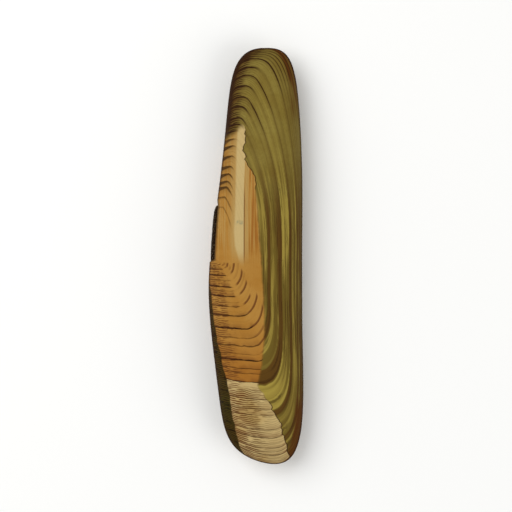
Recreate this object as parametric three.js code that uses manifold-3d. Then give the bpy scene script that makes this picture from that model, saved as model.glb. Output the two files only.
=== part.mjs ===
// A closed razor-shaped mussel shell lying on its right valve: two thin valves, mirror images of each
// other, and the ligament that ties them along the back. Millimetres, +Z up. The rounded posterior end
// points to +Y, the tapered anterior end to -Y, the hinge edge to -X and the lower edge to +X.
import * as THREE from 'three';
import { mergeVertices } from 'three/addons/utils/BufferGeometryUtils.js';
import Module from 'manifold-3d';

// Outline, seen from the side
const shellLength = 120;
const shellHeight = 27; // hinge edge to lower edge, at the widest station
const widestAt = -9.3; // a little to the anterior of mid-length
const widestSpan = 12; // how gently the two tapers meet there
const posteriorEnd = { taper: 0.075, squareness: 12, fullness: 2.68, lean: 0.7 };
const anteriorEnd = { taper: 0.059, squareness: 12, fullness: 1.85, lean: 3.2 };
const bowDepth = 2.4; // how far the ends swing towards the lower edge; lean adds to it at the very tips
const bowLength = 29;

// Cross-section of one valve
const valveDepth = 7.8; // edge plane to the outside, at the deepest place
const deepestAt = -3;
const depthTaper = { squareness: 2.8, fullness: 1.5 };
const crownSquareness = 2.6; // a broad, rather flat side, as razor-shaped shells have
const hingeFullness = 1.9; // a full, steep flank beside the hinge
const umboSwelling = { fullness: 0.9, reach: 9 }; // fuller still beside the umbo
const lowerFullness = 1.3; // a flatter flank that thins out at the lower edge
const wallThickness = 1.2;
const bellyFlat = 0.22; // how much of the crown is flat: the shell lies on it
const edgeGap = 0.3; // between the edges of the two valves

// The umbo, where the shell began, and the ligament just behind it
const umboAt = -1.8;
const ligament = { length: 16, proud: 0.55, seat: 0.8, width: 3.2, squareness: 5, clearance: 0.3 };
const hingeStep = { depth: 1.3, onset: 2, length: 18.5 }; // the hinge edge steps in behind the umbo
const hingePlate = { thickness: 1.4, reach: 16 }; // the wall is thicker where the ligament sits

// Facets
const rows = 60;
const columns = 12;
const ligamentRows = 14;
const ligamentSides = 12;

const half = shellLength / 2;

// Middle line and half height at a station y. The middle line is bowed; the half height tapers both
// ways from the widest station and is rounded off at the tips like a superellipse.
function outlineAt(y) {
  const end = y > widestAt ? posteriorEnd : anteriorEnd;
  const reach = Math.min(Math.abs(y) / half, 1);
  const away = y - widestAt;
  const taper = end.taper * (Math.hypot(away, widestSpan) - widestSpan);
  const rounding = (1 - reach ** end.squareness) ** (1 / end.fullness);
  const bow = bowDepth * (1 - Math.exp(-((away / bowLength) ** 2)));
  return { middle: bow + end.lean * reach ** 16, halfHeight: (shellHeight / 2 - taper) * rounding };
}

// Share of the full depth at a station y: 1 at the deepest place, 0 at both tips.
function depthShare(y) {
  const away = y > deepestAt ? (y - deepestAt) / (half - deepestAt) : (deepestAt - y) / (half + deepestAt);
  return (1 - Math.min(away, 1) ** depthTaper.squareness) ** (1 / depthTaper.fullness);
}

// Share of the station's depth at w, from -1 at the hinge edge to +1 at the lower edge.
function archShare(w, y) {
  const swelling = umboSwelling.fullness * Math.exp(-(((y - umboAt) / umboSwelling.reach) ** 2));
  const fullness = w < 0 ? hingeFullness + swelling : lowerFullness;
  return (1 - Math.min(Math.abs(w), 1) ** crownSquareness) ** (1 / fullness);
}

// How far the hinge edge steps in beside the ligament: at once behind the umbo, then less and less.
function stepAt(y) {
  const behind = y - umboAt;
  const onset = Math.min(Math.max(behind / hingeStep.onset, 0), 1);
  return hingeStep.depth * onset * Math.max(1 - behind / hingeStep.length, 0);
}

// A point of a valve's skin. inset is how far it lies inside the outer skin.
function skinPoint(along, w, inset, side) {
  const station = half * Math.sin((Math.PI / 2) * along);
  const outline = outlineAt(station);
  const fromPlate = (station - umboAt - ligament.length / 2) / hingePlate.reach;
  const plate = inset > 0 ? hingePlate.thickness * Math.exp(-(fromPlate ** 2)) : 0;
  const hingeSide = stepAt(station) + plate;
  const room = outline.halfHeight - hingeSide / 2;
  const halfHeight = Math.max(room - inset, 0.3 * room); // the wall thins out at the very tips
  const share = depthShare(station) * archShare(w, station);
  const depth = Math.min((valveDepth - inset) * share, valveDepth - inset - bellyFlat);
  const x = outline.middle + hingeSide / 2 + halfHeight * w;
  return [x, station * (1 - inset / half), side * (edgeGap / 2 + depth)];
}

// Joins doubled points and drops the faces that shrink to a line, so that the body is watertight.
function closedGeometry(points, faces) {
  const loose = new THREE.BufferGeometry();
  loose.setAttribute('position', new THREE.Float32BufferAttribute(points.flat(), 3));
  loose.setIndex(faces.flat());
  const merged = mergeVertices(loose, 1e-3);
  const kept = [];
  for (let i = 0; i < merged.index.count; i += 3) {
    const [a, b, c] = [0, 1, 2].map((k) => merged.index.getX(i + k));
    if (a !== b && b !== c && c !== a) kept.push(a, b, c);
  }
  merged.setIndex(kept);
  return merged;
}

// Two triangles for the four corners a, b, c, d, turned over when flip is true.
function quad(a, b, c, d, flip) {
  return flip ? [[a, c, b], [a, d, c]] : [[a, b, c], [a, c, d]];
}

// The outer skin, the inner skin and the narrow edge face that joins them all round.
function valveGeometry(side) {
  const points = [];
  const faces = [];
  const stride = columns + 1;
  const innerStart = (rows + 1) * stride;
  for (const inset of [0, wallThickness]) {
    for (let i = 0; i <= rows; i++) {
      for (let j = 0; j <= columns; j++) {
        points.push(skinPoint((2 * i) / rows - 1, -Math.cos((Math.PI * j) / columns), inset, side));
      }
    }
  }
  const flip = side > 0;
  for (let i = 0; i < rows; i++) {
    for (let j = 0; j < columns; j++) {
      const a = i * stride + j;
      faces.push(...quad(a, a + stride, a + stride + 1, a + 1, flip));
      const b = innerStart + a;
      faces.push(...quad(b, b + stride, b + stride + 1, b + 1, !flip));
    }
    const hinge = i * stride;
    const lower = hinge + columns;
    faces.push(...quad(hinge, innerStart + hinge, innerStart + hinge + stride, hinge + stride, flip));
    faces.push(...quad(lower, lower + stride, innerStart + lower + stride, innerStart + lower, flip));
  }
  return closedGeometry(points, faces);
}

// A spindle along the hinge edge: an oval section, blunt at both ends. grow makes it fatter all over.
function ligamentGeometry(grow) {
  const points = [];
  const faces = [];
  const start = umboAt + 0.4;
  const halfLength = ligament.length / 2 + grow;
  for (let i = 0; i <= ligamentRows; i++) {
    const along = Math.sin(Math.PI * (i / ligamentRows - 0.5));
    const y = start + ligament.length / 2 + halfLength * along;
    const { middle, halfHeight } = outlineAt(y);
    const share = (1 - Math.abs(along) ** ligament.squareness) ** 0.5;
    const outside = -ligament.proud * (i / ligamentRows);
    const inside = stepAt(y) + ligament.seat;
    const deep = ((inside - outside) / 2 + grow) * share;
    const wide = (ligament.width / 2 + grow) * share;
    const centre = middle - halfHeight + (inside + outside) / 2;
    for (let j = 0; j < ligamentSides; j++) {
      const turn = (2 * Math.PI * j) / ligamentSides;
      points.push([centre + deep * Math.cos(turn), y, wide * Math.sin(turn)]);
      const next = (j + 1) % ligamentSides;
      const row = i * ligamentSides;
      if (i < ligamentRows) {
        faces.push(...quad(row + j, row + next, row + next + ligamentSides, row + j + ligamentSides, true));
      }
    }
  }
  return closedGeometry(points, faces);
}

const wasm = await Module();
wasm.setup();

function solidOf(geometry) {
  const vertProperties = new Float32Array(geometry.getAttribute('position').array);
  const triVerts = new Uint32Array(geometry.index.array);
  return new wasm.Manifold(new wasm.Mesh({ numProp: 3, vertProperties, triVerts }));
}

function geometryOf(solid) {
  const { vertProperties, triVerts } = solid.getMesh();
  const geometry = new THREE.BufferGeometry();
  geometry.setAttribute('position', new THREE.BufferAttribute(new Float32Array(vertProperties), 3));
  geometry.setIndex(new THREE.BufferAttribute(new Uint32Array(triVerts), 1));
  return geometry;
}

// A valve with the groove in its hinge edge that the ligament lies in.
function groovedValve(side) {
  return geometryOf(solidOf(valveGeometry(side)).subtract(solidOf(ligamentGeometry(ligament.clearance))));
}

const skinFinish = () => new THREE.MeshStandardMaterial({ color: 0x9a7b3d, roughness: 0.5, metalness: 0 });
const ligamentFinish = () => new THREE.MeshStandardMaterial({ color: 0x24160a, roughness: 0.45, metalness: 0 });

function piece(name, geometry, finish) {
  const mesh = new THREE.Mesh(geometry, finish);
  mesh.name = name;
  return mesh;
}

const shell = new THREE.Group();
shell.add(piece('left_valve', groovedValve(1), skinFinish()));
shell.add(piece('right_valve', groovedValve(-1), skinFinish()));
shell.add(piece('ligament', ligamentGeometry(0), ligamentFinish()));

// The origin is under the middle of the shell, on the plane that it lies on.
const bounds = new THREE.Box3().setFromObject(shell);
const centre = bounds.getCenter(new THREE.Vector3());
shell.position.set(-centre.x, -centre.y, -bounds.min.z);

export default shell;
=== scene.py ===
import math
from types import SimpleNamespace

import bmesh
import bpy
import numpy as np
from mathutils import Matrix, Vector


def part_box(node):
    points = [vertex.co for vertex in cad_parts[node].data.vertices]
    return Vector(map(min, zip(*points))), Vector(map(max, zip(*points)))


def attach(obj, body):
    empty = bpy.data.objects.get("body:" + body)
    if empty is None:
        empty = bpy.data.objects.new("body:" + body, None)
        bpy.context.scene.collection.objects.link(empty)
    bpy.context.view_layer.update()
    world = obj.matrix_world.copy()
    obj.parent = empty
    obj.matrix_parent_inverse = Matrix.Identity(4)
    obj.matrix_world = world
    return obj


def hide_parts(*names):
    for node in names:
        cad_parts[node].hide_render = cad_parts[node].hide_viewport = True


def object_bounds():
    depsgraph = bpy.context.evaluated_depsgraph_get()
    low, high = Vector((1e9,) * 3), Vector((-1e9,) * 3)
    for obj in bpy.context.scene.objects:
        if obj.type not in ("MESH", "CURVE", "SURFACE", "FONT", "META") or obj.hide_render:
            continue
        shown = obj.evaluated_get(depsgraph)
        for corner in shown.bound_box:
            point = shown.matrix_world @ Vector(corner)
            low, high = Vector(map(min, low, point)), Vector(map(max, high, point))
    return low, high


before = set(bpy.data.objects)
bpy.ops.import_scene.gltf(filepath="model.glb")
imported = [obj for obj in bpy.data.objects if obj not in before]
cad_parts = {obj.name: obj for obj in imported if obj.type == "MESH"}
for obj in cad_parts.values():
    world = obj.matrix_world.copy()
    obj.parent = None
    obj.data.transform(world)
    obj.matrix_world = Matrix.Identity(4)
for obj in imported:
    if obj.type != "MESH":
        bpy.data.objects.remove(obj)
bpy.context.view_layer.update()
mm = 0.001
leftLow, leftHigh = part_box("left_valve")
_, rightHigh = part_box("right_valve")
halfLength = (leftHigh.y - leftLow.y) / 2 / mm
seamHeight = (leftLow.z + rightHigh.z) / 2 / mm  # the plane between the two valves
crownHeight = leftHigh.z / mm - seamHeight  # how far each valve stands out from that plane
print("frame loaded, shell length", round(2 * halfLength, 1), "mm")


# Outline and section of a valve, in millimetres: +y is the posterior end, -x the hinge edge.
valve = {
    "halfHeight": 13.5, "widestAt": -9.3, "widestSpan": 12,
    "posteriorTaper": 0.075, "posteriorSquareness": 12, "posteriorFullness": 2.68, "posteriorLean": 0.7,
    "anteriorTaper": 0.059, "anteriorSquareness": 12, "anteriorFullness": 1.85, "anteriorLean": 3.2,
    "leanPower": 16, "bowDepth": 2.4, "bowLength": 29,
    # a younger anterior end was rounder, by this much between these shares of youth
    "youngRounding": 9.5, "youngFullness": 0.7, "roundingYouth": (0.12, 0.62),
    "deepestAt": -3, "depthSquareness": 2.8, "depthFullness": 1.5,
    "crownSquareness": 2.6, "crownSpare": 0.22, "crownSoftness": 0.05,
    "hingeFullness": 1.9, "lowerFullness": 1.3, "umboFullness": 0.9, "umboReach": 9, "umboAt": -1.8,
    "stepDepth": 1.4, "stepOnset": 1, "stepSlope": 0.058, "stepEnd": (15.6, 18.4),
    "liftPower": 5,  # how fast the rise beside the ligament dies away from the hinge edge
    "wall": 1.1, "lip": 0.3, "lipGap": 0.03, "tipShare": 0.3, "innerRise": 1.5,
    "calmTip": 0.5, "calmEdge": 0.05,  # the relief fades out here, in millimetres and as a share of w
    "hairInside": 0.9999,  # the valve ends a hair inside the solid
    "rows": 640, "archColumns": 108, "innerColumns": 14,
    "tipCrowding": 2.6, "lengthTrace": 6001, "archTrace": 3001, "boxTrace": 20001,
}


def ease(value, low, high):
    # 0 below low, 1 above high, and 3t^2 - 2t^3 between them.
    t = np.clip((value - low) / (high - low), 0, 1)
    return t * t * (3 - 2 * t)


def softNoise(across, along, seed, cells=96):
    # Heights from -1 to 1 at the corners of a square lattice, eased between the corners.
    lattice = np.random.default_rng(seed).uniform(-1, 1, (cells + 1, cells + 1))
    i, j = np.floor(across).astype(int), np.floor(along).astype(int)
    u, v = ease(across - i, 0, 1), ease(along - j, 0, 1)
    i, j = i % cells, j % cells
    low = lattice[i, j] * (1 - u) + lattice[i + 1, j] * u
    high = lattice[i, j + 1] * (1 - u) + lattice[i + 1, j + 1] * u
    return low * (1 - v) + high * v


def outlineAt(y, youth=0.0):
    # Middle line: bowDepth (1 - exp(-(away / bowLength)^2)), and lean * reach^leanPower at the tips.
    # Half height: a taper from the widest station, times (1 - reach^squareness)^(1 / fullness). Youth is
    # 0 for the present shell; a younger one was rounder in front.
    posterior = y > valve["widestAt"]
    rounder = ease(youth, *valve["roundingYouth"])
    taper = np.where(posterior, valve["posteriorTaper"], valve["anteriorTaper"])
    squareness = valve["anteriorSquareness"] - valve["youngRounding"] * rounder
    squareness = np.where(posterior, valve["posteriorSquareness"], squareness)
    fullness = valve["anteriorFullness"] + valve["youngFullness"] * rounder
    fullness = np.where(posterior, valve["posteriorFullness"], fullness)
    lean = np.where(posterior, valve["posteriorLean"], valve["anteriorLean"] * (1 - rounder))
    reach = np.minimum(np.abs(y) / halfLength, 1)
    away = y - valve["widestAt"]
    full = valve["halfHeight"] - taper * (np.hypot(away, valve["widestSpan"]) - valve["widestSpan"])
    middle = valve["bowDepth"] * (1 - np.exp(-((away / valve["bowLength"]) ** 2)))
    middle = middle + lean * reach ** valve["leanPower"]
    return middle, full * (1 - reach**squareness) ** (1 / fullness), full


def stepAt(y):
    # How far the hinge edge steps in beside the ligament: at once behind the umbo, then ever less.
    behind = y - valve["umboAt"]
    onset = ease(behind, 0, valve["stepOnset"])
    ending = 1 - ease(behind, *valve["stepEnd"])
    return onset * ending * np.maximum(valve["stepDepth"] - valve["stepSlope"] * behind, 0)


def depthShare(y):
    # Depth at a station as a share of the greatest: (1 - away^squareness)^(1 / fullness), 0 at the tips.
    away = y - valve["deepestAt"]
    room = np.where(away > 0, halfLength - valve["deepestAt"], halfLength + valve["deepestAt"])
    away = np.minimum(np.abs(away) / room, 1)
    return (1 - away ** valve["depthSquareness"]) ** (1 / valve["depthFullness"])


def archShare(w, y):
    # Height of the arch at w, -1 at the hinge edge and +1 at the lower edge: (1 - |w|^a)^(1 / b).
    swelling = valve["umboFullness"] * np.exp(-(((y - valve["umboAt"]) / valve["umboReach"]) ** 2))
    fullness = np.where(w < 0, valve["hingeFullness"] + swelling, valve["lowerFullness"])
    return (1 - np.minimum(np.abs(w), 1) ** valve["crownSquareness"]) ** (1 / fullness)


def equalSteps(x, y, count):
    # Shares of a traced line that lie at equal steps of its own running length.
    length = np.concatenate(([0], np.cumsum(np.hypot(np.diff(x), np.diff(y)))))
    return np.interp(np.linspace(0, length[-1], count + 1), length, np.linspace(0, 1, len(x)))


def stationsAlong(count):
    # The outline is traced from tip to tip, crowded at the tips, and read back at equal steps.
    trace = np.linspace(-1, 1, valve["lengthTrace"])
    y = halfLength * np.sign(trace) * (1 - (1 - np.abs(trace)) ** valve["tipCrowding"])
    share = equalSteps(outlineAt(y)[1], y, count)
    return np.interp(share, np.linspace(0, 1, len(y)), y)


def columnsAcross(count):
    # The same across the arch of the deepest station, where w = -cos(turn) from edge to edge.
    w = -np.cos(np.linspace(0, math.pi, valve["archTrace"]))
    y = np.full_like(w, valve["deepestAt"])
    share = equalSteps(w * valve["halfHeight"], archShare(w, y) * crownHeight, count)
    return np.interp(share, np.linspace(0, 1, len(w)), w)


def shiftToFrame():
    # The solid's middle less the outline's middle, so that the two boxes share one middle.
    y = np.linspace(-halfLength, halfLength, valve["boxTrace"])
    middle, halfHeight, _ = outlineAt(y)
    outlineMiddle = ((middle - halfHeight).min() + (middle + halfHeight).max()) / 2
    return (leftHigh.x + leftLow.x) / 2 / mm - outlineMiddle


shiftX = shiftToFrame()


# Growth: how old the shell was when each point of it was its edge, and where its marks lie.
growth = {
    "beakInset": 0.5,
    "anteriorPower": 2,  # the anterior end grew with the square of the age
    "hingeGainPosterior": 0.45, "gainOnsetPosterior": 0.1, "hingeGainYoung": 3,
    "hingeGainAnterior": 2.4, "gainOnsetAnterior": 0.22, "gainSoftness": 6,
    "obliqueness": 0.52, "obliquePower": 2.7, "obliqueOnset": 0.075,
    "youngest": 0.003, "halvings": 22, "probe": 0.04, "leftSeed": 11, "rightSeed": 47,
    # age of each pause, and how strong its line is at the posterior end, the anterior end and below
    "pauses": (
        (0.07, 0, 0.2, 0), (0.12, 0, 0.3, 0), (0.16, 0, 0.4, 0), (0.19, 0, 0.9, 0),
        (0.225, 0, 0.4, 0), (0.259, 0.5, 1, 0), (0.304, 0.6, 0.3, 0), (0.352, 0.8, 1, 0.3),
        (0.377, 0.8, 0.3, 0), (0.412, 0.9, 1, 0.3), (0.448, 0.9, 0.2, 0.2), (0.468, 0.1, 0.9, 0.3),
        (0.495, 0.9, 0.1, 0), (0.516, 0.1, 0.9, 0.2), (0.542, 1, 0, 0.2), (0.574, 0.7, 1, 0.3),
        (0.612, 0.8, 0.5, 0.1), (0.643, 0.9, 0.7, 1), (0.673, 0.8, 0.5, 0.1), (0.696, 0.1, 1, 0.3),
        (0.7245, 0.8, 0.8, 0.2), (0.74, 0, 0.6, 0.9), (0.7688, 1, 1, 1), (0.797, 0, 0.3, 0),
        (0.822, 0.8, 0.6, 0.1), (0.8535, 0, 0.3, 0.2), (0.8706, 1, 0.6, 0.8),
        (0.911, 0.8, 0.5, 0.2), (0.932, 0.1, 1, 0.2), (0.948, 1, 0.2, 0.8), (0.959, 0.93, 0.5, 0.2),
        (0.9685, 0.96, 0.4, 0.6), (0.9775, 0.97, 0.7, 0.7), (0.9855, 0.96, 0.3, 0.3),
        (0.9925, 0.96, 0.4, 0.3), (1, 1, 0.8, 1),
    ),
    "creamFrom": 0.7688,
    # the pauses waver by wobble, in waves counted per ray and per age; the quick ones are weaker
    "wobble": 0.0048, "slowWaver": (5, 9), "quickWaver": (17, 23), "quickShare": 0.4,
    "widestBand": 12, "creamReach": 5,
    "shingleDrop": 0.1, "shinglePower": 1.5, "grooveDepth": 0.07, "grooveWidth": 0.16,
    "swell": 0.05, "swellLength": (5, 6), "skinThickness": 0.07,
    "reliefWidth": (0.25, 1.6), "lowerRelief": 0.45, "lowerRay": (0.6, 0.95),
    # depth and length of the ragged edges; the right one is calm between its two ends
    "coarseJag": (0.3, 1.7), "fineJag": (0.25, 0.6), "topJag": (0.6, 2.1), "bandJag": (0.14, 1.3),
    "jagRear": (16, 22), "jagFront": (36, 40), "jagCalm": 0.3,
    # (station, place) along the right edge of the worn shell, the inner edge of the dark band and both
    # sides of the crest; wornTop is the slanting top of the worn shell, as two (place, station) ends
    "wornRight": (
        (-60, 10.6), (-57.8, 9.9), (-53.5, 8.9), (-49.2, 7.7), (-45, 5.6), (-41, 3.4), (-37, 0.7),
        (-33, 1.4), (-26, 2.4), (-18, 2.6), (-10, 2.2), (-2, 1.7), (6, 1.1), (14, 0.6), (18, 0.3),
        (22, 0.1), (23.8, -0.9), (25.2, -1.9), (27.4, -2.7), (30, -3.4), (32, -3.2), (34.2, -2.9),
        (36.8, -3.1), (37.6, -3.6), (60, -20),
    ),
    "wornTop": ((-9.6, 33), (-3.6, 36.4)),
    "bandInner": (
        (-60, -1.6), (-57.6, -2.9), (-56, -4), (-53.5, -4.8), (-51, -5.4), (-48, -6),
        (-45, -6.7), (-40, -7.3), (-36, -8), (-33, -8.9), (-30, -9.6), (-28, -10), (-25, -10.8),
        (-20, -11.7), (-15, -12.3), (-9, -12.9), (-4, -13.6), (60, -13.9),
    ),
    "crestLeft": (
        (-3, -4), (0, -5), (3, -5.8), (7, -6.1), (12, -5.8), (20, -5.6), (30, -5.4), (38, -5),
    ),
    "crestRight": ((-3, -3.3), (10, -3.3), (20, -3.25), (28, -2.9), (38, -2.9)),
}

beakY = valve["umboAt"]
beakMiddle, beakHalf, _ = outlineAt(np.array(beakY))
beakX = float(beakMiddle - beakHalf) + growth["beakInset"]


def wasInside(x, y, age):
    # A younger edge is the present one drawn in towards the beak by age, or by age^anteriorPower towards
    # the anterior end. Its hinge side was wider by gain * (1 - exp(-youth / onset)), times
    # (1 - exp(-across / softness)). Its lower posterior corner was nearer the hinge line by
    # obliqueness * share^power * (1 - exp(-youth / onset)).
    youth = 1 - age
    posterior = y > beakY
    outY = beakY + (y - beakY) / np.where(posterior, age, age ** growth["anteriorPower"])
    outX = beakX + (x - beakX) / age
    middle, halfHeight, full = outlineAt(outY, youth)
    share = np.clip((outY - beakY) / (halfLength - beakY), 0, 1)
    cut = growth["obliqueness"] * share ** growth["obliquePower"]
    cut = cut * (1 - np.exp(-youth / growth["obliqueOnset"]))
    hingeLine = middle - full
    across = hingeLine + (outX - hingeLine) / (1 - cut) - middle
    rear = growth["hingeGainPosterior"] * (1 - np.exp(-youth / growth["gainOnsetPosterior"]))
    rear = rear + growth["hingeGainYoung"] * youth**2
    front = growth["hingeGainAnterior"] * (1 - np.exp(-youth / growth["gainOnsetAnterior"]))
    gain = np.where(posterior, rear, front) * (1 - np.exp(-np.abs(across) / growth["gainSoftness"]))
    reach = halfHeight * (1 + np.where(across < 0, gain, 0))
    return (np.abs(outY) < halfLength) & (np.abs(across) < reach)


def ageAt(x, y):
    # The smallest age whose edge still holds the point, found by halving.
    young, old = np.full(x.shape, growth["youngest"]), np.ones(x.shape)
    for _ in range(growth["halvings"]):
        age = (young + old) / 2
        inside = wasInside(x, y, age)
        old, young = np.where(inside, age, old), np.where(inside, young, age)
    return old


def readAt(points, y):
    # Straight from one given (station, place) point to the next.
    return np.interp(y, [p[0] for p in points], [p[1] for p in points])


def edgeDistance(x, y):
    # Height above the edge over sqrt(1 + slope^2), which is close to the true distance in millimetres.
    def height(yAt):
        # half - |across|, less the step beside the ligament.
        middle, halfHeight, _ = outlineAt(np.clip(yAt, -halfLength, halfLength))
        return halfHeight - np.abs(x - middle) - np.where(x < middle, stepAt(yAt), 0)

    step = growth["probe"]
    slope = (height(y + step / 2) - height(y - step / 2)) / step
    return height(y) / np.hypot(1, slope)


def pauseWeights(age, ages, weights):
    # Each weight runs straight to that of the coming pause over a third of the band, and then holds.
    turns = np.stack((ages[:-1], ages[:-1] + np.diff(ages) / 3), axis=1).ravel()
    return [np.interp(age, turns, np.stack((w[:-1], w[1:]), axis=1).ravel()) for w in weights]


def jagAt(y, seed):
    # The broken right edge: coarse and fine noise along the shell, times jagCalm away from both ends.
    (coarse, coarseLength), (fine, fineLength) = growth["coarseJag"], growth["fineJag"]
    jag = coarse * softNoise(y / coarseLength + 7, y * 0, seed + 2)
    jag = jag + fine * softNoise(y / fineLength + 5, y * 0 + 3, seed + 3)
    nearEnds = np.maximum(ease(y, *growth["jagRear"]), ease(-y, *growth["jagFront"]))
    return jag * (growth["jagCalm"] + (1 - growth["jagCalm"]) * nearEnds)


def growthFields(x, y, seed):
    # Everything that depends on growth: age, pauses passed (phase), width of the band (its share of age
    # over the slope of age), place on the edge (ray, 0 at the hinge and 1 below) and signed distances to
    # the marked zones. What is added inside the noises only picks another part of them.
    step = growth["probe"]
    age = ageAt(x, y)
    slopeX = ageAt(x + step, y) - ageAt(x - step, y)
    slopeY = ageAt(x, y + step) - ageAt(x, y - step)
    slope = np.hypot(slopeX, slopeY) / step / 2
    span = 1 / np.maximum(slope, 1e-4)  # millimetres for one unit of age
    ray = (beakX + (x - beakX) / age + valve["halfHeight"]) / (2 * valve["halfHeight"])
    (slowRay, slowAge), (quickRay, quickAge) = growth["slowWaver"], growth["quickWaver"]
    quick = growth["quickShare"] * softNoise(ray * quickRay, age * quickAge + 50, seed + 1)
    waver = softNoise(ray * slowRay + 3, age * slowAge + 40, seed) + quick
    wavered = np.clip(age + growth["wobble"] * waver * np.minimum(age, (1 - age) * 4), 0, 1)
    ages, *weights = np.array(((0, 0, 0, 0), *growth["pauses"])).T
    phase = np.interp(wavered, ages, np.arange(len(ages)))
    rear, front, lower = pauseWeights(wavered, ages, weights)
    perPhase = np.interp(wavered, (ages[1:] + ages[:-1]) / 2, np.diff(ages))
    middle, halfHeight, _ = outlineAt(y)
    (topX0, topY0), (topX1, topY1) = growth["wornTop"]
    run = math.hypot(topX1 - topX0, topY1 - topY0)
    skinTop = ((y - topY0) * (topX1 - topX0) - (x - topX0) * (topY1 - topY0)) / run
    (topJag, topLength), (bandJag, bandLength) = growth["topJag"], growth["bandJag"]
    topRagged = topJag * softNoise(x / topLength + 30, y / topLength + 30, seed + 4)
    bandRagged = bandJag * softNoise(y / bandLength + 9, y * 0, seed + 5)
    creamWay = (wavered - growth["creamFrom"]) * span
    return {
        "age": age, "phase": phase, "ray": np.clip(ray, 0, 1),
        "bandWidth": np.minimum(span * perPhase, growth["widestBand"]),
        "rearWeight": rear, "frontWeight": front, "lowerWeight": lower,
        "creamWay": np.clip(creamWay, -growth["creamReach"], growth["creamReach"]),
        "tipWay": np.where(y > beakY, age * (halfLength - beakY), age**2 * (halfLength + beakY)),
        "skinRight": x - readAt(growth["wornRight"], y) - jagAt(y, seed),
        "skinTop": skinTop + topRagged,
        "darkBand": readAt(growth["bandInner"], y) - x + bandRagged,
        "crestLeft": x - readAt(growth["crestLeft"], y),
        "crestRight": readAt(growth["crestRight"], y) - x,
        "fromHinge": x - (middle - halfHeight), "fromLower": middle + halfHeight - x,
        "fromEdge": edgeDistance(x, y), "placeX": x, "placeY": y,
    }


def reliefOf(fields, seed):
    # How far the skin sinks below the smooth form. Each growth band rises to the next pause as
    # (1 - part)^shinglePower, with a groove exp(-(distance / width)^2) at the pause; both fade where the
    # bands are very narrow. The worn shell lies a skin's thickness deeper.
    part = fields["phase"] - np.floor(fields["phase"])
    width = fields["bandWidth"]
    nearest = np.minimum(part, 1 - part) * width
    least = growth["lowerRelief"]
    above = 1 - ease(fields["ray"], *growth["lowerRay"])
    keep = ease(width, *growth["reliefWidth"]) * (least + (1 - least) * above)
    sink = growth["shingleDrop"] * keep * (1 - part) ** growth["shinglePower"]
    sink += growth["grooveDepth"] * keep * np.exp(-((nearest / growth["grooveWidth"]) ** 2))
    swellX, swellY = growth["swellLength"]
    swell = softNoise(fields["placeX"] / swellX + 20, fields["placeY"] / swellY + 20, seed + 6)
    sink += growth["swell"] * (0.5 + 0.5 * swell)
    covered = np.maximum(ease(fields["skinRight"], -0.06, 0.06), ease(fields["skinTop"], -0.4, 0.8))
    return sink + growth["skinThickness"] * (1 - covered)


def placed(name, data):
    # A new object with this data, in the scene.
    made = bpy.data.objects.new(name, data)
    bpy.context.scene.collection.objects.link(made)
    return made


def meshObject(name, points, faces, materials):
    # Points in millimetres times mm gives the frame's metres; every face is shaded smooth.
    mesh = bpy.data.meshes.new(name)
    mesh.from_pydata((points * mm).tolist(), [], faces.tolist())
    for material in materials:
        mesh.materials.append(material)
    mesh.polygons.foreach_set("use_smooth", np.ones(len(faces), bool))
    return placed(name, mesh)


def setField(mesh, name, values):
    # One number for each point, in the order of the points.
    made = mesh.attributes.new(name, "FLOAT", "POINT")
    made.data.foreach_set("value", values.astype(np.float32).ravel())


def mergeDoubles(mesh, within=2e-7):
    # Points closer than within, in metres, become one, so loops that end in a point or line are closed.
    work = bmesh.new()
    work.from_mesh(mesh)
    bmesh.ops.remove_doubles(work, verts=work.verts, dist=within)
    bmesh.ops.dissolve_degenerate(work, edges=work.edges, dist=within / 4)
    work.to_mesh(mesh)
    work.free()


def loopFaces(rowCount, loopCount):
    # Four corners for every face between one closed loop and the next.
    i, j = np.meshgrid(np.arange(rowCount - 1), np.arange(loopCount), indexing="ij")
    here, there = i * loopCount, (i + 1) * loopCount
    after = (j + 1) % loopCount
    return np.stack((here + j, here + after, there + after, there + j), axis=-1).reshape(-1, 4)


# The ligament, in millimetres along and out of the hinge edge.
ligament = {
    "start": -2.3, "length": 16.9, "proudStart": 0, "proudEnd": 0.6, "seat": 0.8, "halfWidth": 1.6,
    "bluntness": 8, "rows": 240, "sides": 72, "strands": 11, "strandDepth": 0.05, "ringDepth": 0.03,
    "liftShare": 0.8, "deepRoundness": 0.8, "wideRoundness": 0.9,
    "strandLength": 5, "ringLength": 0.35, "seed": 71,
}


def ligamentShare(y):
    # Blunt at both ends: sqrt(1 - |along|^bluntness).
    along = np.clip((y - ligament["start"]) / ligament["length"] * 2 - 1, -1, 1)
    return np.sqrt(1 - np.abs(along) ** ligament["bluntness"])


def liftAt(y):
    # The hinge edge of each valve rises to make room: liftShare * halfWidth * the ligament's share.
    return ligament["liftShare"] * ligament["halfWidth"] * ligamentShare(y)


def bulge(value, roundness):
    # |value|^roundness with the sign of value: below 1 it squares off the oval.
    return np.sign(value) * np.abs(value) ** roundness


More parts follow.
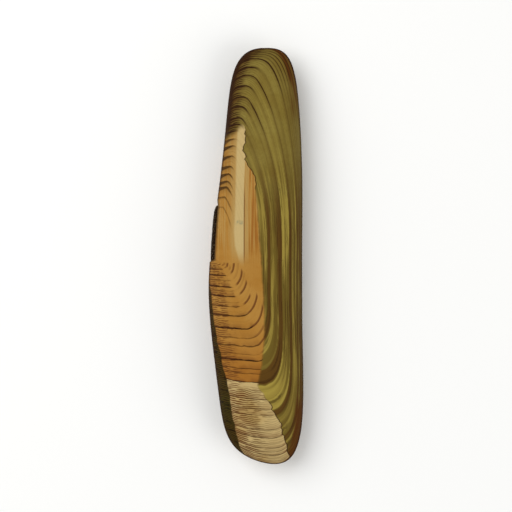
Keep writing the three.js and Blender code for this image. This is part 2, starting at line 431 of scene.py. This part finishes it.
def makeLigament(material):
    # An oval spindle along the hinge edge: middle - deep * bulge(cos) across, wide * bulge(sin) up, with
    # lengthwise strands and fine rings pressed in.
    p = ligament
    station = p["start"] + p["length"] * (0.5 - 0.5 * np.cos(np.linspace(0, math.pi, p["rows"] + 1)))
    y, turn = np.meshgrid(station, np.linspace(0, 2 * math.pi, p["sides"], endpoint=False), indexing="ij")
    along = (y - p["start"]) / p["length"]
    middle, halfHeight, _ = outlineAt(y)
    share = ligamentShare(y)
    outside = -(p["proudStart"] + (p["proudEnd"] - p["proudStart"]) * ease(along, 0, 1))
    inside = stepAt(y) + p["seat"]
    strands = softNoise(turn * p["strands"] / math.pi, y / p["strandLength"] + 9, p["seed"])
    rings = softNoise(turn * 0 + 3, y / p["ringLength"] + 60, p["seed"] + 1)
    ripple = p["strandDepth"] * (strands - 1) + p["ringDepth"] * (rings - 1)
    deep = ((inside - outside) / 2 + ripple) * share
    wide = (p["halfWidth"] + ripple) * share
    x = middle - halfHeight + (inside + outside) / 2 - deep * bulge(np.cos(turn), p["deepRoundness"])
    z = seamHeight + wide * bulge(np.sin(turn), p["wideRoundness"])
    points = np.stack((x + shiftX, y, z), axis=-1).reshape(-1, 3)
    made = meshObject("ligamentCord", points, loopFaces(len(station), p["sides"]), [material])
    setField(made.data, "alongCord", along)
    setField(made.data, "roundCord", turn / (2 * math.pi))
    mergeDoubles(made.data)
    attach(made, "root")
    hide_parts("ligament")
    print("ligament made,", len(made.data.polygons), "faces")


def outerArch(y, w, lift, seed):
    # Height over the seam: base + (crown - base) * depthShare * archShare, held under the crown by a
    # soft minimum, crown - soft ln(1 + exp((crown - height) / soft)). The base is the lip, raised beside
    # the ligament by lift * |w|^liftPower. The relief is then sunk along the normal.
    middle, halfHeight, _ = outlineAt(y)
    step = stepAt(y)
    x = middle + step / 2 + (halfHeight - step / 2) * w
    base = valve["lip"] + lift * np.maximum(-w, 0) ** valve["liftPower"]
    full = base + (crownHeight + valve["crownSpare"] - base) * depthShare(y) * archShare(w, y)
    soft = valve["crownSoftness"]
    z = crownHeight - soft * np.log1p(np.exp((crownHeight - full) / soft))
    outer = np.stack((x, y, z), axis=-1)
    fields = growthFields(x, y, seed)
    normal = np.cross(np.gradient(outer, axis=1), np.gradient(outer, axis=0))
    normal /= np.maximum(np.linalg.norm(normal, axis=-1, keepdims=True), 1e-9)
    normal *= np.sign(normal[y.shape[0] // 2, y.shape[1] // 2, 2])
    fromTip = ease(halfLength - np.abs(y), 0, valve["calmTip"])
    fromEdge = ease(1 - np.abs(w), 0, valve["calmEdge"])
    outer -= normal * (reliefOf(fields, seed) * fromTip * fromEdge)[..., None]
    return outer, fields


def valveSurface(side, seed):
    # A section is a closed loop: outer arch, lower lip, inner arch and hinge lip; at the tips it is a
    # line. A lip is a half circle, inset lip * (1 - cos(turn)), height lip - (lip - gap) * sin(turn).
    station = stationsAlong(valve["rows"])
    y, w = np.meshgrid(station, columnsAcross(valve["archColumns"]), indexing="ij")
    outer, fields = outerArch(y, w, liftAt(y), seed)
    middle, halfHeight, _ = outlineAt(station)
    step, lift = stepAt(station), liftAt(station)
    centre = middle + step / 2
    room = halfHeight - step / 2

    def roomLeft(inset):
        # Half width less the inset; near the tips a share of it, where the wall thins out.
        return np.maximum(room - inset, valve["tipShare"] * room)

    def lipColumn(sideW, inset, height):
        # One point of the lip for each station, on the lower side (+1) or the hinge side (-1).
        raised = height + (lift if sideW < 0 else 0 * station)
        place = centre + sideW * roomLeft(inset)
        return np.stack((place, station * (1 - inset / halfLength), raised), axis=-1)

    lipTurn = np.radians([45, 90, 135])
    lipInset = valve["lip"] * (1 - np.cos(lipTurn))
    lipHeight = valve["lip"] - (valve["lip"] - valve["lipGap"]) * np.sin(lipTurn)
    lipSteps = list(zip(lipInset, lipHeight))
    lowerLip = np.stack([lipColumn(1, *pair) for pair in lipSteps], axis=1)
    hingeLip = np.stack([lipColumn(-1, *pair) for pair in lipSteps[::-1]], axis=1)
    inset = 2 * valve["lip"]
    innerW = np.cos(np.linspace(0, math.pi, valve["innerColumns"] + 1))
    yIn, wIn = np.meshgrid(station, innerW, indexing="ij")
    across = roomLeft(inset)[:, None]
    baseIn = valve["lip"] + lift[:, None] * np.maximum(-wIn, 0) ** valve["liftPower"]
    risen = np.maximum(crownHeight - valve["wall"] - baseIn, 0) * depthShare(yIn) * archShare(wIn, yIn)
    risen = baseIn + risen * np.minimum(across / valve["innerRise"], 1)
    inner = np.stack((centre[:, None] + across * wIn, yIn * (1 - inset / halfLength), risen), axis=-1)
    loop = np.concatenate((outer, lowerLip, inner, hingeLip), axis=1)
    loop[..., 0] = valve["hairInside"] * (loop[..., 0] + shiftX)
    loop[..., 2] = seamHeight + side * loop[..., 2]
    faces = loopFaces(*loop.shape[:2])
    return loop, faces if side > 0 else faces[:, ::-1], fields


def makeValve(name, node, side, seed, materials):
    # Side +1 is the valve above the seam, -1 its mirror below. Faces between inner columns take the
    # second material; round the lips and inside, each field keeps its values at the two edges.
    loop, faces, fields = valveSurface(side, seed)
    loopCount, archCount = loop.shape[1], valve["archColumns"] + 1
    made = meshObject(name, loop.reshape(-1, 3), faces, materials)
    column = np.arange(len(faces)) % loopCount
    isInner = (column >= archCount + 1) & (column < loopCount - 2)
    made.data.polygons.foreach_set("material_index", isInner.astype(np.int32))
    half = (loopCount - archCount) // 2
    for field, values in fields.items():
        lowerSide = np.repeat(values[:, -1:], half, axis=1)
        hingeSide = np.repeat(values[:, :1], loopCount - archCount - half, axis=1)
        setField(made.data, field, np.concatenate((values, lowerSide, hingeSide), axis=1))
    mergeDoubles(made.data)
    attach(made, "root")
    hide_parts(node)
    print(name, "made,", len(made.data.polygons), "faces")


def colour(red, green, blue):
    # Display values 0-255 to linear ones: ((s + 0.055) / 1.055)^2.4, or s / 12.92 where very dark.
    shares = np.array((red, green, blue)) / 255
    linear = np.where(shares <= 0.04045, shares / 12.92, ((shares + 0.055) / 1.055) ** 2.4)
    return (*linear.tolist(), 1.0)


class Graph:
    # Short names for the nodes that the finishes below are made of.
    def __init__(self, name):
        # A new material with an empty node tree.
        self.material = bpy.data.materials.new(name)
        self.material.use_nodes = True
        self.tree = self.material.node_tree
        self.tree.nodes.clear()

    def add(self, kind, inputs, **settings):
        # A node; an input that is a socket is linked, any other value is set on it.
        made = self.tree.nodes.new(kind)
        for key, value in settings.items():
            setattr(made, key, value)
        for key, value in inputs.items():
            if isinstance(value, bpy.types.NodeSocket):
                self.tree.links.new(value, made.inputs[key])
            else:
                made.inputs[key].default_value = value
        return made

    def calc(self, operation, *values):
        # One operation of the maths node on the values.
        return self.add("ShaderNodeMath", dict(enumerate(values)), operation=operation).outputs[0]

    def times(self, first, *others):
        # first * second * third ...
        for other in others:
            first = self.calc("MULTIPLY", first, other)
        return first

    def plus(self, first, *others):
        # first + second + third ...
        for other in others:
            first = self.calc("ADD", first, other)
        return first

    def minus(self, first, second):
        # first - second.
        return self.plus(first, self.times(second, -1.0))

    def most(self, first, second):
        # The larger of the two.
        return self.calc("MAXIMUM", first, second)

    def swing(self, value, size):
        # (value - 0.5) * size, which turns noise round 0.5 into noise round 0.
        return self.times(self.plus(value, -0.5), size)

    def rest(self, value):
        # 1 - value.
        return self.calc("SUBTRACT", 1.0, value)

    def fade(self, value, low, high, start=0.0, end=1.0):
        # start below low, end above high, and 3t^2 - 2t^3 between them.
        inputs = {"Value": value, "From Min": low, "From Max": high, "To Min": start, "To Max": end}
        return self.add("ShaderNodeMapRange", inputs, interpolation_type="SMOOTHSTEP").outputs[0]

    def fall(self, value, low, high, start=1.0):
        # start below low and 0 above high.
        return self.fade(value, low, high, start, 0.0)

    def near(self, value, inner, outer):
        # 1 within inner of zero, 0 beyond outer.
        return self.fall(self.calc("ABSOLUTE", value), inner, outer)

    def thread(self, way, inner, outer):
        # A thin line half way between one whole number and the next.
        return self.near(self.plus(self.calc("FRACT", way), -0.5), inner, outer)

    def blend(self, share, first, second):
        # first * (1 - share) + second * share.
        inputs = {0: share, 6: first, 7: second}
        return self.add("ShaderNodeMix", inputs, data_type="RGBA").outputs[2]

    def field(self, name):
        # A number stored with the points of the mesh.
        return self.add("ShaderNodeAttribute", {}, attribute_name=name).outputs["Fac"]

    def noise(self, place, scale=1.0, detail=2.0, roughness=0.5):
        # Soft noise round 0.5, with scale waves to the unit of place.
        inputs = {"Vector": place, "Scale": scale, "Detail": detail, "Roughness": roughness}
        return self.add("ShaderNodeTexNoise", inputs).outputs["Fac"]

    def stretched(self, x, scaleX, y, scaleY, z=0.0, detail=2.0):
        # Soft noise, scaleX waves to the unit of x and scaleY to that of y; z picks another part.
        inputs = {"X": self.times(x, scaleX), "Y": self.times(y, scaleY), "Z": z}
        return self.noise(self.add("ShaderNodeCombineXYZ", inputs).outputs[0], 1.0, detail)

    def drawn(self, value):
        # A random number that stays the same between one whole number and the next.
        whole = self.calc("FLOOR", value)
        return self.add("ShaderNodeTexWhiteNoise", {"W": whole}, noise_dimensions="1D").outputs["Value"]

    def surface(self, base, roughness, height, strength, distance, specular=0.3):
        # A principled shader with a bump, on the material's output.
        inputs = {"Strength": strength, "Distance": distance, "Height": height}
        bump = self.add("ShaderNodeBump", inputs).outputs[0]
        inputs = {"Base Color": base, "Roughness": roughness, "Specular IOR Level": specular}
        made = self.add("ShaderNodeBsdfPrincipled", {**inputs, "Normal": bump})
        self.add("ShaderNodeOutputMaterial", {"Surface": made.outputs[0]})
        print(self.material.name, "mixed")
        return self.material


# The skin and the worn shell. Pairs are where a mark starts and ends, or its least and greatest size, in
# millimetres.
skin = {
    "olive": colour(127, 109, 47), "oliveLight": colour(137, 121, 57), "oliveDeep": colour(104, 86, 33),
    "lowerYellow": colour(159, 139, 62), "lowerStreak": colour(86, 58, 20), "rust": colour(86, 45, 9),
    "orange": colour(164, 116, 48), "orangeLight": colour(173, 128, 60),
    "orangeDeep": colour(157, 98, 32), "orangeLine": colour(140, 84, 34),
    "tan": colour(173, 141, 83), "pale": colour(192, 167, 113), "smudge": colour(158, 146, 106),
    "cream": colour(171, 141, 86), "creamDeep": colour(88, 58, 22),
    "line": colour(46, 24, 8), "lineWarm": colour(96, 54, 26), "shade": colour(80, 54, 20),
    "band": colour(40, 22, 3), "bandOlive": colour(34, 31, 5), "bandDeep": colour(22, 13, 3),
    # growth lines, and the hairs and threads between them
    "lineWidth": (0.26, 0.56), "lineOfBand": 0.4, "shadowWidth": (0.1, 2.5), "wander": 0.1,
    "hairPerMm": 1.75, "hairWarp": 2.6, "hairTremble": 0.5, "threadsPerAge": 46,
    "tipDrop": 1.8,  # the former edges turn this far short of beak + tipWay
    # olive coat
    "rearZone": (30, 38), "lowerFrom": (6, 34), "rustDepth": (1.7, 2.8), "rustFrom": (38, 45),
    "hingeShade": (0.8, 5.5), "hingeStrip": (0.7, 1.9),
    "nearHatch": (2.2, 5.2), "farHatch": (4, 12), "edgeHatch": (0.4, 2.2),
    # worn shell
    "umboLine": (-2.4, -1.4), "behindUmbo": (-4, 6), "deepOrange": (-36, -18),
    "crestStart": (-3.6, 2.5), "crestRimFades": (15, 22), "smudgeAt": (-4.5, 9.5),
    "creamPaler": (0.4, 2.6), "creamHairs": (0.8, 2.4), "creamRight": (1, 6),
    "strokeReach": (1.6, 6.5), "strokeWidth": (0.35, 0.75), "bandHairs": 9,
    "rearStrokesFrom": (15.5, 18), "rearStrokeWidth": (0.95, 1.35), "rearStrokeTaper": 0.27,
    "rearStrokeReach": (1.6, 4.4),
    # where the skin breaks off: a crisp rim near both ends, a soft one between
    "crispRear": (16, 22), "crispFront": (-44, -38), "crispBlur": 0.07, "softBlur": 0.45,
    "rimWidth": (0.05, 0.26), "edgeWidth": (0.15, 0.6),
    # dark band
    "bandBlur": (-0.1, 0.25), "bandEnd": (-11, -5), "bandTurnsOlive": (-42, -33),
    # mottling in waves per millimetre, read this far away on the other valve; the surface itself
    "coarse": 0.12, "fine": 1.1, "grit": 5, "otherValve": 37,
    "wornRoughness": 0.62, "coatRoughness": 0.52, "specular": 0.03,
    "bump": 0.00012, "bumpStrength": 0.35,
}


def paint(g, base, name, *shares):
    # base * (1 - share) + skin[name] * share, where share is the product of the shares.
    return g.blend(g.times(*shares), base, skin[name])


def growthLines(g, at, offset):
    # A pause is a dark line, softly shaded on the side of the beak. Its width swells and thins with
    # noise, under lineOfBand of the band, and wander shifts it a little. Hairs are fine lines at equal
    # steps of tipWay, warped and broken by noise.
    wander = g.swing(g.noise(at.place, 0.5, 3), skin["wander"])
    passed = g.calc("MINIMUM", g.plus(at.phase, wander), len(growth["pauses"]) - 0.01)
    before = g.times(g.rest(g.calc("FRACT", passed)), at.bandWidth)  # mm to the next pause
    drawn = g.drawn(g.plus(passed, offset))
    swell = g.stretched(at.phase, 0.9, at.ray, 5.0, offset)
    widest = g.times(at.bandWidth, skin["lineOfBand"])
    thick = g.calc("MINIMUM", g.fade(swell, 0.3, 0.7, *skin["lineWidth"]), widest)
    thick = g.times(thick, g.most(g.fade(at.y, -4.0, 4.0), g.fade(drawn, 0.0, 1.0, 0.45, 1.0)))
    thick = g.times(thick, g.fade(at.ray, 0.28, 0.55, 1.35, 0.9))
    strands = g.stretched(at.phase, 30.0, at.ray, 12.0, offset, 1)
    strands = g.fade(strands, 0.3, 0.46, 0.7, 1.0)  # a line is laid in several thin strands
    sharp = g.fall(g.minus(before, thick), -0.1, 0.1)
    warp = g.swing(g.noise(at.place, 0.22, 1), skin["hairWarp"])
    tremble = g.swing(at.fine, skin["hairTremble"])
    hairWay = g.plus(g.times(at.tipWay, skin["hairPerMm"]), warp, tremble)
    held = g.stretched(g.calc("FLOOR", hairWay), 7.3, at.ray, 7.0, offset + 9.0, 1)
    hair = g.times(g.thread(hairWay, 0.12, 0.38), g.fade(held, 0.32, 0.46))
    shadow = g.fall(before, *skin["shadowWidth"])
    sharp = g.times(sharp, strands)
    return SimpleNamespace(before=before, swell=swell, drawn=drawn, sharp=sharp, shadow=shadow, hair=hair)


def lowerSide(g, at):
    # Yellow and brown streaks that follow the pauses, with fine dark threads.
    streaks = g.plus(g.times(at.lowerWeight, 0.75), g.swing(at.streak, 1.2))
    lower = g.blend(g.fade(streaks, 0.0, 0.24), skin["lowerYellow"], skin["oliveDeep"])
    lower = paint(g, lower, "lowerStreak", g.fade(streaks, 0.3, 0.54))
    threadWay = g.plus(g.times(at.age, skin["threadsPerAge"]), g.times(at.fine, 0.5))
    held = g.stretched(g.calc("FLOOR", threadWay), 7.3, at.y, 0.09, 3.0, 1)
    thread = g.times(g.thread(threadWay, 0.1, 0.3), g.fade(held, 0.46, 0.58))
    return paint(g, lower, "line", thread, 0.6)


def oliveCoat(g, at, lines):
    # Olive skin: streaked lower side, rust brown margin near both ends, hatched dark strip at the hinge.
    weight = at.rearWeight
    rear = g.fade(at.y, *skin["rearZone"])
    coat = g.blend(g.fade(at.coarse, 0.35, 0.65), skin["olive"], skin["oliveLight"])
    coat = paint(g, coat, "oliveDeep", g.fade(at.fine, 0.45, 0.75), 0.3)
    lowerShare = g.times(g.fade(at.ray, 0.45, 0.7), g.fade(at.y, *skin["lowerFrom"], 0.95, 0.12))
    coat = g.blend(lowerShare, coat, lowerSide(g, at))
    rust = g.fall(at.fromLower, *skin["rustDepth"])
    rust = g.times(rust, g.fade(g.calc("ABSOLUTE", at.y), *skin["rustFrom"]))
    rustShare = g.fade(at.y, -20.0, 20.0, 0.8, 0.2)
    broken = g.times(g.fade(at.hairStreak, 0.36, 0.6), g.rest(rustShare))
    coat = paint(g, coat, "rust", rust, g.plus(rustShare, broken))
    coat = paint(g, coat, "shade", g.fall(at.fromHinge, *skin["hingeShade"], 0.85), rear)
    coat = paint(g, coat, "shade", lines.shadow, weight, g.fade(at.ray, 0.3, 0.62, 0.95, 0.3))

    # the lines are full above; on the lower limb only the strongest go on, and thin out downwards
    limb = g.fade(at.ray, 0.5, 0.64)
    down = g.plus(g.minus(at.tipWay, at.y), -skin["tipDrop"])  # mm below the former edge's top
    limbWeight = g.times(limb, weight, g.fade(weight, 0.88, 1.0, 0.12, 0.95))
    limbWeight = g.times(limbWeight, g.fade(down, 4.5, 13.0, 1.0, 0.3))
    lineWeight = g.plus(g.times(g.rest(limb), g.fade(weight, 0.1, 0.7)), limbWeight)
    coat = paint(g, coat, "line", lines.sharp, lineWeight)

    strip = g.fall(at.fromHinge, *skin["hingeStrip"], 0.95)
    nearHatch = g.fall(at.fromHinge, *skin["nearHatch"])
    farHatch = g.fall(at.fromHinge, *skin["farHatch"], 0.3)
    edgeHatch = g.fall(at.fromEdge, *skin["edgeHatch"], 0.7)
    edgeHatch = g.times(edgeHatch, g.fall(at.ray, 0.6, 0.85))
    hatch = g.times(lines.hair, g.most(g.most(nearHatch, farHatch), edgeHatch))
    return paint(g, coat, "line", g.most(strip, hatch), rear)


def wornOrange(g, at):
    # Orange tan, deeper in front, combed lengthwise behind the umbo; the pale crest, part worn shell and
    # part painted highlight, a thin brown line along its right side and one small grey smudge.
    behind = g.fade(at.y, *skin["behindUmbo"])
    deep = g.fade(at.y, *skin["deepOrange"], 0.7, 0.1)
    orange = g.blend(g.fade(at.coarse, 0.35, 0.65), skin["orange"], skin["orangeLight"])
    flecks = g.times(g.fade(at.fine, 0.5, 0.75), 0.3)
    orange = paint(g, orange, "orangeDeep", g.most(flecks, deep))
    combed = g.stretched(at.x, 2.2, at.y, 0.05, 5.0)
    orange = paint(g, orange, "tan", g.fade(combed, 0.48, 0.6), behind, 0.55)
    right = g.fade(at.crestRight, -0.6, -1.4)
    orange = paint(g, orange, "orangeLine", g.fade(combed, 0.5, 0.4), behind, right, 0.6)
    # A paler band along the crest, partly worn shell and partly painted highlight: soft is its tan edge.
    start = g.fade(at.y, *skin["crestStart"])
    soft = g.times(g.fade(at.crestLeft, -2.4, -0.6), g.fade(at.crestRight, -1.5, -1.1), start)
    crest = g.times(g.fade(at.crestLeft, -0.45, 0.35), g.fade(at.crestRight, -0.06, 0.1), start)
    orange = paint(g, orange, "tan", soft, 0.65)
    orange = paint(g, orange, "pale", crest, 0.95)
    rim = g.near(g.plus(at.crestRight, 0.1), 0.05, 0.24)
    rim = g.times(rim, g.fade(at.y, -3.0, 1.0), g.fall(at.y, *skin["crestRimFades"], 0.75))
    orange = paint(g, orange, "lineWarm", rim)
    smudgeX, smudgeY = skin["smudgeAt"]
    across, along = g.plus(at.x, -smudgeX), g.plus(at.y, -smudgeY)
    smudge = g.times(g.near(across, 0.6, 1.2), g.near(along, 0.3, 0.9))
    return paint(g, orange, "smudge", smudge, g.fade(at.fine, 0.3, 0.6))


def wornCream(g, at, lines):
    # Cream at the anterior end, paler where it starts and to the right, with brown hairs.
    cream = g.blend(g.fade(at.coarse, 0.35, 0.6), skin["cream"], skin["pale"])
    cream = paint(g, cream, "pale", g.fall(at.creamWay, *skin["creamPaler"], 0.8))
    cream = paint(g, cream, "pale", g.fade(at.x, *skin["creamRight"], 0.0, 0.9))
    hair = g.times(lines.hair, g.fade(at.creamWay, *skin["creamHairs"]))
    hair = g.times(hair, g.fade(at.x, -1.0, 5.0, 1.0, 0.3))
    hair = g.times(hair, g.fade(lines.swell, 0.35, 0.6, 0.75, 1.0))
    return paint(g, cream, "creamDeep", hair)


def anteriorLines(g, at, lines, anterior, worn):
    # Dark where they lie flat, broken at the bend, brown strokes where they rise again; fine brown hairs
    # reach in from the dark band.
    up = g.plus(at.tipWay, at.y, skin["tipDrop"])  # mm above the lowest point of the former edge
    ended = g.fade(at.y, -20.0, -12.0, 0.85, 0.64)  # the ray where the dark part stops
    ended = g.plus(ended, g.swing(lines.drawn, 0.16))
    flat = g.most(g.fall(up, 0.5, 1.2), g.fall(at.ray, 0.45, 0.55))
    flat = g.times(flat, g.fall(g.minus(at.ray, ended), -0.03, 0.05))
    front = g.times(anterior, at.frontWeight)
    shade = g.fade(lines.swell, 0.3, 0.6, 0.1, 0.5)
    worn = paint(g, worn, "lineWarm", lines.shadow, front, flat, shade)
    worn = paint(g, worn, "line", lines.sharp, front, flat, g.fade(lines.swell, 0.24, 0.38, 0.5, 1.0))
    reach = g.fade(lines.drawn, 0.0, 1.0, *skin["strokeReach"])
    risen = g.fall(g.minus(up, reach), -0.5, 0.5)
    risen = g.times(g.fade(up, 0.3, 1.0), risen)
    risen = g.times(risen, g.fade(at.frontWeight, 0.1, 0.8), g.fade(at.ray, 0.6, 0.66))
    stroke = g.fall(lines.before, *skin["strokeWidth"])
    worn = paint(g, worn, "lineWarm", stroke, anterior, risen, 0.85)
    bandHairs = g.plus(at.fromBand, g.times(lines.swell, -skin["bandHairs"]))
    bandHairs = g.fall(bandHairs, -2.0, 0.6)
    return paint(g, worn, "lineWarm", lines.hair, anterior, bandHairs, 0.8)


def posteriorStrokes(g, at, lines, worn):
    # Strokes behind the ligament, gone a few millimetres in; faint lines up to the crest.
    stroke = g.plus(lines.before, g.times(at.fromHinge, skin["rearStrokeTaper"]))
    stroke = g.fall(stroke, *skin["rearStrokeWidth"])
    hold = g.times(g.fall(at.fromHinge, *skin["rearStrokeReach"]), at.rearWeight)
    hold = g.times(hold, g.fade(at.y, *skin["rearStrokesFrom"]))
    worn = paint(g, worn, "shade", lines.shadow, hold, 0.55)
    worn = paint(g, worn, "line", stroke, hold, 0.95)
    faint = g.times(lines.sharp, g.fade(at.y, 6.0, 10.0), at.rearWeight)
    return paint(g, worn, "shade", faint, g.fade(at.crestLeft, -1.6, -0.6, 1.0, 0.06))


def wornShell(g, at, lines):
    # Where the skin has gone: orange, and cream from one growth line to the anterior end.
    anterior = g.fall(at.y, *skin["umboLine"])
    creamShare = g.times(g.fade(at.creamWay, -0.06, 0.06), anterior)
    worn = g.blend(creamShare, wornOrange(g, at), wornCream(g, at, lines))
    worn = anteriorLines(g, at, lines, anterior, worn)
    return posteriorStrokes(g, at, lines, worn)


def darkBand(g, at, lines, base):
    # The dark band along the anterior hinge side, olive in its lower part, mottled and finely hatched.
    share = g.times(g.fade(at.darkBand, *skin["bandBlur"]), g.fall(at.y, *skin["bandEnd"]))
    olive = g.fall(at.y, *skin["bandTurnsOlive"])
    olive = g.times(olive, g.fade(at.coarse, 0.3, 0.6))
    band = g.blend(olive, skin["band"], skin["bandOlive"])
    band = g.blend(g.fade(at.fine, 0.38, 0.56), skin["bandDeep"], band)
    band = paint(g, band, "oliveDeep", lines.hair, 0.35)
    return g.blend(g.times(share, 0.98), base, band)


def skinPlaces(g, offset):
    # The stored fields, the place in millimetres (offset picks other noise) and the mottling read there.
    place = g.add("ShaderNodeTexCoord", {}).outputs["Object"]
    inMm = {0: place, 1: (1 / mm, 1 / mm, 1 / mm)}
    place = g.add("ShaderNodeVectorMath", inMm, operation="MULTIPLY").outputs[0]
    place = g.add("ShaderNodeVectorMath", {0: place, 1: (offset, offset, 0)}, operation="ADD").outputs[0]
    at = SimpleNamespace(x=g.field("placeX"), y=g.field("placeY"), place=place)
    for key in ("age", "phase", "bandWidth", "ray", "tipWay", "fromHinge", "fromLower", "fromEdge",
                "skinRight", "skinTop", "darkBand", "crestLeft", "crestRight",
                "rearWeight", "frontWeight", "lowerWeight", "creamWay"):
        setattr(at, key, g.field(key))
    at.coarse = g.noise(place, skin["coarse"], 3)
    at.fine = g.noise(place, skin["fine"], 4, 0.6)
    at.streak = g.stretched(at.age, 26.0, at.y, 0.03, offset)
    at.hairStreak = g.stretched(at.age, 70.0, at.y, 0.06, offset)
    at.fromBand = g.times(at.darkBand, -1.0)
    return at


def valveSkin(name, offset):
    # cover is 0 on worn shell and 1 on the coat; base = worn * (1 - cover) + coat * cover, then the rim
    # where the skin breaks off, the dark band and the dark edge of the valve.
    g = Graph(name)
    at = skinPlaces(g, offset)
    lines = growthLines(g, at, offset)
    crisp = g.most(g.fade(at.y, *skin["crispRear"]), g.fall(at.y, *skin["crispFront"]))
    blur = g.fade(crisp, 0.0, 1.0, skin["softBlur"], skin["crispBlur"])
    cover = g.fade(g.calc("DIVIDE", at.skinRight, blur), -1.0, 1.0)
    cover = g.most(cover, g.fade(at.skinTop, -0.9, 1.1))
    base = g.blend(cover, wornShell(g, at, lines), oliveCoat(g, at, lines))
    rim = g.times(g.near(at.skinRight, *skin["rimWidth"]), g.fall(at.skinTop, -1.5, 0.0))
    base = paint(g, base, "line", rim, g.fade(crisp, 0.0, 1.0, 0.15, 0.85))
    base = darkBand(g, at, lines, base)
    base = paint(g, base, "line", g.fall(at.fromEdge, *skin["edgeWidth"], 0.7))
    grit = g.times(g.noise(at.place, skin["grit"], 3, 0.65), 0.35)
    height = g.plus(g.times(lines.sharp, -0.5), g.times(lines.hair, -0.4), grit)
    roughness = g.fade(cover, 0.0, 1.0, skin["wornRoughness"], skin["coatRoughness"])
    roughness = g.plus(roughness, g.swing(at.fine, 0.25))
    return g.surface(base, roughness, height, skin["bumpStrength"], skin["bump"], skin["specular"])


# The inside of the valves; the horn of the ligament, with streaks and flecks along and round it.
porcelain = {
    "white": colour(228, 220, 200), "cloud": colour(208, 196, 168), "cloudsPerMetre": 120,
    "roughness": 0.3, "bump": 0.0001, "bumpStrength": 0.1,
}
horn = {
    "dark": colour(20, 9, 2), "brown": colour(42, 25, 10), "fleck": colour(136, 118, 90),
    "streaks": (5, 40), "flecks": (52, 26), "fleckShare": 0.7,
    "roughness": 0.55, "bump": 0.0001, "bumpStrength": 0.4, "specular": 0.04,
}


def innerSkin():
    # Porcelain white inside, faintly clouded.
    g = Graph("valveInside")
    place = g.add("ShaderNodeTexCoord", {}).outputs["Object"]
    clouds = g.noise(place, porcelain["cloudsPerMetre"], 3)
    base = g.blend(g.fade(clouds, 0.35, 0.7), porcelain["white"], porcelain["cloud"])
    return g.surface(base, porcelain["roughness"], clouds, porcelain["bumpStrength"], porcelain["bump"])


def ligamentFinish():
    # Horny dark brown with fine pale flecks in lengthwise rows.
    g = Graph("hornyLigament")
    along, turn = g.field("alongCord"), g.field("roundCord")
    (streakAlong, streakRound), (fleckAlong, fleckRound) = horn["streaks"], horn["flecks"]
    streaks = g.stretched(along, streakAlong, turn, streakRound, 0.0, 3)
    flecks = g.stretched(along, fleckAlong, turn, fleckRound, 0.0, 1)
    base = g.blend(g.fade(streaks, 0.35, 0.7), horn["dark"], horn["brown"])
    base = g.blend(g.times(g.fade(flecks, 0.6, 0.7), horn["fleckShare"]), base, horn["fleck"])
    strength, depth = horn["bumpStrength"], horn["bump"]
    return g.surface(base, horn["roughness"], streaks, strength, depth, horn["specular"])


inside = innerSkin()
leftSkins = [valveSkin("leftValveSkin", 0.0), inside]
rightSkins = [valveSkin("rightValveSkin", skin["otherValve"]), inside]
makeValve("leftValveShell", "left_valve", 1, growth["leftSeed"], leftSkins)
makeValve("rightValveShell", "right_valve", -1, growth["rightSeed"], rightSkins)
makeLigament(ligamentFinish())


# Floor, lamps and camera, in metres and watts.
studio = {
    "floor": colour(250, 250, 248), "floorSize": 3, "world": 0.5,
    "keyFrom": (-0.42, 0.25, 0.62), "keyPower": 4, "keySize": 0.7,
    "fillFrom": (0.6, -0.3, 0.5), "fillPower": 1.9, "fillSize": 0.6,
    "lens": 120, "clipStart": 0.01, "shellShare": 0.8125,
}


def makeFloor():
    # One pale square, floorSize on a side, at height 0.
    size = studio["floorSize"] / 2
    corners = np.array(((-size, -size, 0), (size, -size, 0), (size, size, 0), (-size, size, 0))) / mm
    g = Graph("paleFloor")
    floor = meshObject("floor", corners, np.array(((0, 1, 2, 3),)), [g.material])
    made = g.add("ShaderNodeBsdfPrincipled", {"Base Color": studio["floor"], "Roughness": 0.9})
    g.add("ShaderNodeOutputMaterial", {"Surface": made.outputs[0]})


def makeLamp(name, target):
    # A square area lamp that faces the target.
    data = bpy.data.lights.new(name, "AREA")
    data.energy, data.size = studio[name + "Power"], studio[name + "Size"]
    lamp = placed(name, data)
    lamp.location = studio[name + "From"]
    lamp.rotation_euler = (target - lamp.location).to_track_quat("-Z", "Y").to_euler()


def makeWorld():
    # Even white light from all round.
    world = bpy.data.worlds.new("studio")
    world.use_nodes = True
    background = world.node_tree.nodes["Background"]
    background.inputs["Color"].default_value = (1, 1, 1, 1)
    background.inputs["Strength"].default_value = studio["world"]
    bpy.context.scene.world = world
    bpy.context.scene.view_settings.view_transform = "Standard"


def makeCamera(low, high):
    # Straight above, at length / shellShare * lens / sensor width, so the shell fills shellShare.
    data = bpy.data.cameras.new("camera")
    data.lens, data.clip_start = studio["lens"], studio["clipStart"]
    camera = placed("camera", data)
    distance = (high.y - low.y) / studio["shellShare"] * data.lens / data.sensor_width
    middle = (low + high) / 2
    camera.location = (middle.x, middle.y, middle.z + distance)
    bpy.context.scene.camera = camera


low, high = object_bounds()
makeFloor()
for lampName in ("key", "fill"):
    makeLamp(lampName, (low + high) / 2)
makeCamera(low, high)
makeWorld()
print("stage set")
